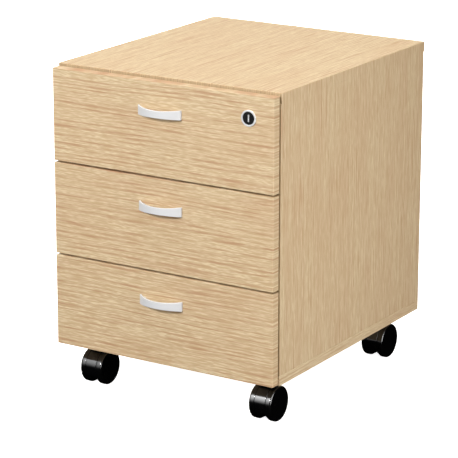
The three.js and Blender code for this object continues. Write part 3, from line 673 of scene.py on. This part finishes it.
def addHood(corner, centre, radius, swivel):
    look = casterLook
    node = f"caster_{corner}_hood"
    low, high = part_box(node)
    half = (high.x - low.x) / 2
    inner = radius - look["hoodWall"]
    rib, root = look["ribHalf"], look["axleBoss"] - look["ribOverlap"]
    outline = [(-half, radius), (half, radius), (half, inner), (rib, inner), (rib, root), (-rib, root),
               (-rib, inner), (-half, inner)]
    start = math.radians(look["hoodStart"])
    outward = Vector((0, -math.cos(start), math.sin(start)))
    bm = bmesh.new()
    verts = [bm.verts.new(centre + Vector((x, 0, 0)) + outward * away) for x, away in outline]
    edges = [bm.edges.new(pair) for pair in zip(verts, verts[1:] + verts[:1])]
    bmesh.ops.spin(bm, geom=verts + edges, cent=centre, axis=(-1, 0, 0), angle=math.pi,
                   steps=look["hoodSteps"], use_merge=False, use_duplicate=False)
    bmesh.ops.edgeloop_fill(bm, edges=[e for e in bm.edges if e.is_boundary])
    bmesh.ops.recalc_face_normals(bm, faces=bm.faces)
    roundEdges(bm, sharpEdges(bm, 30), look["hoodEdge"], 3)
    bossHalf = look["axleBossHalf"]
    turnProfile(bm, [(look["boreRadius"], -bossHalf), (look["axleBoss"], -bossHalf),
                     (look["axleBoss"], bossHalf), (look["boreRadius"], bossHalf)],
                centre, (1, 0, 0), look["steps"] // 2, closed=True)
    addSwivelBoss(bm, swivel, high.z, centre, radius - look["hoodWall"] / 2)
    addPiece(f"{node}_moulding", bm, bodyOf[node], [glossPolyamide], [node], 35)


# The boss stands on the hood: its lower ring lies in the middle of the hood's wall
def addSwivelBoss(bm, swivel, top, centre, reach):
    look = casterLook
    ring = bmesh.ops.create_circle(bm, cap_ends=True, segments=look["steps"] // 2,
                                   radius=look["bossRadius"])["verts"]
    bmesh.ops.translate(bm, verts=ring, vec=(swivel.x, swivel.y, top))
    cap = ring[0].link_faces[0]
    rim = list(cap.edges)
    grown = bmesh.ops.extrude_edge_only(bm, edges=rim)["geom"]
    for vert in [g for g in grown if isinstance(g, bmesh.types.BMVert)]:
        vert.co.z = centre.z + math.sqrt(reach ** 2 - (vert.co.y - centre.y) ** 2)
    bmesh.ops.contextual_create(bm, geom=[g for g in grown if isinstance(g, bmesh.types.BMEdge)
                                          and g.is_boundary])
    bmesh.ops.inset_region(bm, faces=[cap], thickness=look["bossWall"], use_even_offset=True)
    bore = bmesh.ops.extrude_face_region(bm, geom=[cap])["geom"]
    bmesh.ops.translate(bm, verts=[g for g in bore if isinstance(g, bmesh.types.BMVert)],
                        vec=(0, 0, -look["bossDepth"]))
    bmesh.ops.delete(bm, geom=[cap], context="FACES_ONLY")
    roundEdges(bm, [e for e in rim if e.is_valid], look["bossEdge"], 4)
    bmesh.ops.recalc_face_normals(bm, faces=bm.faces)


def addPlate(corner):
    look = casterLook
    node = f"caster_{corner}_plate"
    low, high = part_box(node)
    middle = (low + high) / 2
    thick = look["plateThickness"]
    underside = high.z - thick
    bm = bmesh.new()
    bmesh.ops.create_cube(bm, size=1)
    bmesh.ops.scale(bm, vec=(high.x - low.x, high.y - low.y, thick), verts=bm.verts)
    bmesh.ops.translate(bm, vec=(middle.x, middle.y, high.z - thick / 2), verts=bm.verts)
    upright = [e for e in bm.edges if abs(e.verts[0].co.z - e.verts[1].co.z) > thick / 2]
    roundEdges(bm, upright, look["plateCorner"], 8)
    roundEdges(bm, sharpEdges(bm, 60), look["plateEdge"], 2)
    race, height = look["raceRadius"], look["raceHeight"]
    foot = Vector((middle.x, middle.y, underside))
    rim = [(race - drawnIn, -height * share) for drawnIn, share in look["raceEdge"]]
    turnProfile(bm, [(0, thick / 2), (race, thick / 2), *rim, (0, -height)], foot, (0, 0, 1),
                look["steps"] // 2)
    pin, edge, end = look["kingpinRadius"], look["kingpinEdge"], low.z - underside
    turnProfile(bm, [(0, 0), (pin, 0), (pin, end + edge), (pin - edge, end), (0, end)],
                foot, (0, 0, 1), look["steps"] // 3)
    addPiece(f"{node}_pressing", bm, bodyOf[node], [zincPlate], [node], 40)
    for column in (-1, 1):
        for row in (-1, 1):
            place = foot + Vector((column, row, 0)) * look["holeSpacing"] / 2
            addScrew(f"{node}_screw_{column}_{row}", place, (0, 0, -1), look["screwRadius"], bodyOf[node])


def addCaster(corner):
    hoodLow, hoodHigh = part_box(f"caster_{corner}_hood")
    wheelLow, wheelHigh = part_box(f"caster_{corner}_wheel_right")
    plateLow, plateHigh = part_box(f"caster_{corner}_plate")
    wheelMiddle = (wheelLow + wheelHigh) / 2
    centre = Vector(((hoodLow.x + hoodHigh.x) / 2, wheelMiddle.y, wheelMiddle.z))
    radius = (wheelHigh.z - wheelLow.z) / 2
    for side in sides:
        addWheel(corner, side, centre, radius)
    addHood(corner, centre, radius, (plateLow + plateHigh) / 2)
    addPlate(corner)


for corner in corners:
    addCaster(corner)
print("casters made")


# Runners: rolled channels with ball cages between them

runnerLook = {
    "edge": 0.3 * mm,
    "web": 1.2 * mm,
    "screwRadius": 2.8 * mm,
    "caseScrews": (125 * mm, 253 * mm, 381 * mm),  # from the channel's front end
    "drawerScrews": (60 * mm, 220 * mm, 370 * mm),
    "cageFront": 4 * mm,
    "cageRear": 92 * mm,
    "cageThickness": 0.5 * mm,
    "cageFromWeb": 0.4 * mm,
    "cagePastBalls": 1.2 * mm,
    "foldDegrees": 50,  # edges sharper than this are rounded
    "balls": 10,
    "ballRadius": 1.7 * mm,
    "ballAside": 6.2 * mm,  # from the case channel's web to the balls' middles
    "race": 14.55 * mm,  # above and below the runner's middle
}


def addRolledPart(node, edge, finish):
    bm = copyOfNode(node)
    roundEdges(bm, sharpEdges(bm, runnerLook["foldDegrees"]), edge, 2)
    return addPiece(f"{node}_part", bm, bodyOf[node], [finish], [node])


# A thin U of steel with a row of balls in each race. It stays between the channels at every opening.
def addBallCage(node, sign):
    look = runnerLook
    low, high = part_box(node)
    webFace = (high.x if sign > 0 else low.x) - sign * look["web"]
    middle = (low.z + high.z) / 2
    front, rear = low.y + look["cageFront"], low.y + look["cageRear"]
    thick, race = look["cageThickness"], look["race"]
    nearX = webFace - sign * look["cageFromWeb"]
    farX = webFace - sign * (look["ballAside"] + look["cagePastBalls"])
    outline = [(farX, race), (nearX, race), (nearX, -race), (farX, -race)]
    bm = bmesh.new()
    verts = [bm.verts.new((x, front, middle + z)) for x, z in outline]
    edges = [bm.edges.new(pair) for pair in zip(verts, verts[1:])]
    grown = bmesh.ops.extrude_edge_only(bm, edges=edges)["geom"]
    bmesh.ops.translate(bm, verts=[g for g in grown if isinstance(g, bmesh.types.BMVert)],
                        vec=(0, rear - front, 0))
    bmesh.ops.recalc_face_normals(bm, faces=bm.faces)
    bmesh.ops.solidify(bm, geom=bm.faces[:], thickness=thick)
    bmesh.ops.recalc_face_normals(bm, faces=bm.faces)
    for level in (-race, race):
        for number in range(look["balls"]):
            y = front + (rear - front) * (number + 0.5) / look["balls"]
            place = Matrix.Translation((webFace - sign * look["ballAside"], y, middle + level))
            known = set(bm.faces)
            bmesh.ops.create_icosphere(bm, subdivisions=2, radius=look["ballRadius"], matrix=place)
            for face in set(bm.faces) - known:
                face.material_index = 1
    addPiece(f"{node}_ball_cage", bm, bodyOf[node], [zincPlate, bearingSteel])


def addRunner(number, side):
    look = runnerLook
    sign = sides[side]
    fixed, moving = f"case_runner_{number}_{side}", f"drawer_{number}_runner_{side}"
    for node in (fixed, moving):
        addRolledPart(node, look["edge"], zincPlate)
    addBallCage(fixed, sign)
    low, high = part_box(fixed)
    middleZ = (low.z + high.z) / 2
    webFace = (high.x if sign > 0 else low.x) - sign * look["web"]
    for order, y in enumerate(look["caseScrews"]):
        addScrew(f"{fixed}_screw_{order + 1}", (webFace, low.y + y, middleZ), (-sign, 0, 0),
                 look["screwRadius"], bodyOf[fixed])
    low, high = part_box(moving)
    webFace = (low.x if sign > 0 else high.x) + sign * look["web"]
    for order, y in enumerate(look["drawerScrews"]):
        addScrew(f"{moving}_screw_{order + 1}", (webFace, low.y + y, middleZ), (sign, 0, 0),
                 look["screwRadius"], bodyOf[moving])


for number in drawers:
    for side in sides:
        addRunner(number, side)
print("runners made")


# Lock bar with its guide, and the small fittings that hold boards together

fittingLook = {
    "barEdge": 0.4 * mm,
    "guideScrewInset": 5.0 * mm,
    "guideScrewRadius": 3.4 * mm,
    "bufferRadius": 4.0 * mm,
    "bufferInset": 9.0 * mm,
    "bufferEdge": 0.3 * mm,
    "bufferGap": 0.02 * mm,
    "bufferSteps": 24,
    "camRadius": 7.5 * mm,
    "camFromFront": 30 * mm,
    "camFromEdge": 20 * mm,
    "nailRadius": 2.4 * mm,
    "nailFace": 0.8,  # share of the radius that is flat
    "nailSteps": 20,
    "nailInset": 7 * mm,
    "nailRows": 5,
    "nailColumns": 4,
}


def addGuideScrews():
    look = fittingLook
    low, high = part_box("lock_bar_guide")
    for order, z in enumerate((low.z + look["guideScrewInset"], high.z - look["guideScrewInset"])):
        addScrew(f"lock_bar_guide_screw_{order + 1}", (low.x, high.y - look["guideScrewInset"], z),
                 (-1, 0, 0), look["guideScrewRadius"], bodyOf["lock_bar_guide"])


# A soft disc behind each upper corner of a front, against the case's edge
def addBuffers(number):
    look = fittingLook
    low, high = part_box(f"drawer_{number}_front")
    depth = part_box("side_panel_left")[0].y - high.y - look["bufferGap"]
    edge = look["bufferEdge"]
    reach = look["bufferRadius"]
    bm = bmesh.new()
    for x in (low.x + look["bufferInset"], high.x - look["bufferInset"]):
        turnProfile(bm, [(0, 0), (reach, 0), (reach, depth - edge), (reach - edge, depth), (0, depth)],
                    Vector((x, high.y, high.z - look["bufferInset"])), (0, 1, 0), look["bufferSteps"])
    addPiece(f"drawer_{number}_buffers", bm, f"drawer_{number}", [softBuffer])


def addCams(number):
    look = fittingLook
    for side, sign in sides.items():
        low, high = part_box(f"drawer_{number}_side_{side}")
        innerX = high.x if sign < 0 else low.x
        for order, z in enumerate((low.z + 2 * look["camFromEdge"], high.z - look["camFromEdge"])):
            place = (innerX, low.y + look["camFromFront"], z)
            addScrew(f"drawer_{number}_cam_{side}_{order + 1}", place, (-sign, 0, 0),
                     look["camRadius"], f"drawer_{number}", whiteMelamine, camLook)


# Flat nail heads round the back panel, in the room that its board leaves them
def addNails():
    look = fittingLook
    low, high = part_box("back_panel")
    inset, top = look["nailInset"], boardLook["nailRoom"]
    spots = {(x, low.z + inset + (high.z - low.z - 2 * inset) * row / (look["nailRows"] - 1))
             for x in (low.x + inset, high.x - inset) for row in range(look["nailRows"])}
    spots |= {(low.x + inset + (high.x - low.x - 2 * inset) * column / (look["nailColumns"] - 1), z)
              for z in (low.z + inset, high.z - inset) for column in range(look["nailColumns"])}
    bm = bmesh.new()
    for x, z in sorted(spots):
        turnProfile(bm, [(0, -top), (look["nailRadius"], -top), (look["nailRadius"], -top / 2),
                         (look["nailRadius"] * look["nailFace"], 0), (0, 0)],
                    Vector((x, high.y, z)), (0, 1, 0), look["nailSteps"])
    addPiece("back_panel_nails", bm, bodyOf["back_panel"], [zincPlate])


addRolledPart("lock_bar", fittingLook["barEdge"], zincPlate)
addRolledPart("lock_bar_guide", fittingLook["barEdge"], mattPlastic)
addGuideScrews()
for number in drawers:
    addBuffers(number)
    addCams(number)
addNails()

# The axles stay as they are, with their own finish
for corner in corners:
    materials = frame["nodes"][f"caster_{corner}_axle"].data.materials
    materials.clear()
    materials.append(bearingSteel)
print("small fittings made")


# Floor, light and camera

studio = {
    "floor": "#F4F4F4",
    "floorRoughness": 0.9,
    "floorGlow": 1.0,
    "floorSteps": 96,
    "floorProfile": [(0, 0), (12, 0), (14, 0.5), (15, 2), (15, 14)],  # radius and height in metres
    "skyStrength": 0.35,
    "skyFrom": -0.02,  # the light starts just under the horizon and is full at skyTo
    "skyTo": 0.3,
    "lamps": {
        "graded_softbox": {"place": (-1.22, -2.06, 1.0), "width": 1.2, "height": 2.0, "power": 54},
        "camera_side_softbox": {"place": (-0.1, -3.5, 2.1), "width": 0.4, "height": 0.4, "power": 90},
        "side_softbox": {"place": (1.45, -0.35, 0.45), "width": 1.0, "height": 1.0, "power": 17},
        "rear_softbox": {"place": (-1.9, 2.6, 1.2), "width": 1.6, "height": 1.6, "power": 60},
        "fill_from_below": {"place": (0.0, 0.0, -1.6), "width": 3.0, "height": 3.0, "power": 22},
    },
    "sunStrength": 3.0,
    "sunAngle": 60,
    # the left softbox: shares of its height and width over which it fades, and how
    "fadeHeight": 0.75,
    "fadePower": 1.3,
    "fadeSide": (0.15, 0.65),
    "sideStrength": 0.3,
}


# A round floor that turns up into a plain wall. It glows by itself so that it stays white, shows
# in no gloss, gives the object no light and doesn't shade the lamp below it.
def addFloor():
    bm = bmesh.new()
    turnProfile(bm, studio["floorProfile"], Vector((0, 0, 0)), (0, 0, 1), studio["floorSteps"])
    mesh = bpy.data.meshes.new("studio_floor")
    bm.to_mesh(mesh)
    bm.free()
    floor = bpy.data.objects.new("studio_floor", mesh)
    bpy.context.scene.collection.objects.link(floor)
    material = newFinish("studio_floor_paint", {
        "Base Color": linearColour(studio["floor"]), "Roughness": studio["floorRoughness"],
        "Emission Color": (1, 1, 1, 1), "Emission Strength": studio["floorGlow"]})[0]
    floor.data.materials.append(material)
    floor.visible_glossy = False
    floor.visible_diffuse = False
    floor.visible_shadow = False


def placeLamp(name, light, place, target):
    lamp = bpy.data.objects.new(name, light)
    bpy.context.scene.collection.objects.link(lamp)
    lamp.location = place
    aim = Vector(target) - Vector(place)
    lamp.rotation_euler = aim.to_track_quat("-Z", "Y").to_euler()
    lamp.visible_camera = False
    return lamp


def addLamp(name, look, target):
    light = bpy.data.lights.new(name, "AREA")
    light.shape = "RECTANGLE"
    light.size = look["width"]
    light.size_y = look["height"]
    light.energy = look["power"]
    return placeLamp(name, light, look["place"], target)


# The softbox at the left is upright and fades out towards its foot and its left side
def gradeSoftbox(lamp):
    lamp.data.use_nodes = True
    tree = lamp.data.node_tree
    across = addNode(tree, "SeparateXYZ", links={0: addNode(tree, "NewGeometry").outputs["Parametric"]})
    rise = addNode(tree, "MapRange", {1: 0.0, 2: studio["fadeHeight"], 3: 0.0, 4: 1.0},
                   {0: across.outputs[1]})
    curve = addNode(tree, "Math", {"operation": "POWER", 1: studio["fadePower"]}, {0: rise.outputs[0]})
    sideFrom, sideTo = studio["fadeSide"]
    side = addNode(tree, "MapRange", {1: sideFrom, 2: sideTo, 3: studio["sideStrength"], 4: 1.0},
                   {0: across.outputs[0]})
    strength = addNode(tree, "Math", {"operation": "MULTIPLY"}, {0: curve.outputs[0], 1: side.outputs[0]})
    tree.links.new(strength.outputs[0], tree.nodes["Emission"].inputs["Strength"])


def addSun():
    light = bpy.data.lights.new("soft_top_light", "SUN")
    light.energy = studio["sunStrength"]
    light.angle = math.radians(studio["sunAngle"])
    placeLamp("soft_top_light", light, (0, 0, 3), (0, 0, 0))


def addSky():
    world = bpy.data.worlds.new("studio_sky")
    bpy.context.scene.world = world
    world.use_nodes = True
    tree = world.node_tree
    background = tree.nodes["Background"]
    place = addNode(tree, "TexCoord")
    axes = addNode(tree, "SeparateXYZ", links={0: place.outputs["Generated"]})
    rise = addNode(tree, "MapRange", {1: studio["skyFrom"], 2: studio["skyTo"], 3: 0.0,
                                      4: studio["skyStrength"]}, {0: axes.outputs[2]})
    tree.links.new(rise.outputs[0], background.inputs["Strength"])


# Metres, degrees, and the lens in millimetres
cameraLook = {"place": (1.902973, -3.057936, 1.275738), "yaw": 32.148, "pitch": 16.0735,
              "roll": 0.0386, "lens": 184.65}


def addCamera():
    camera = bpy.data.cameras.new("camera")
    camera.lens = cameraLook["lens"]
    camera.sensor_width = 36
    holder = bpy.data.objects.new("camera", camera)
    bpy.context.scene.collection.objects.link(holder)
    yaw = Matrix.Rotation(math.radians(cameraLook["yaw"]), 4, "Z")
    pitch = Matrix.Rotation(math.radians(90 - cameraLook["pitch"]), 4, "X")
    roll = Matrix.Rotation(math.radians(cameraLook["roll"]), 4, "Z")
    holder.matrix_world = Matrix.Translation(cameraLook["place"]) @ yaw @ pitch @ roll
    bpy.context.scene.camera = holder


addFloor()
middle = (cadBounds[0] + cadBounds[1]) / 2
upright = Vector((middle.x, middle.y, studio["lamps"]["graded_softbox"]["place"][2]))
lamps = {name: addLamp(name, look, upright if name == "graded_softbox" else middle)
         for name, look in studio["lamps"].items()}
for name in ("fill_from_below", "rear_softbox"):  # they light the far faces and show in no gloss
    lamps[name].visible_glossy = False
gradeSoftbox(lamps["graded_softbox"])
addSun()
addSky()
addCamera()
bpy.context.scene.view_settings.view_transform = "Standard"
print("studio made")
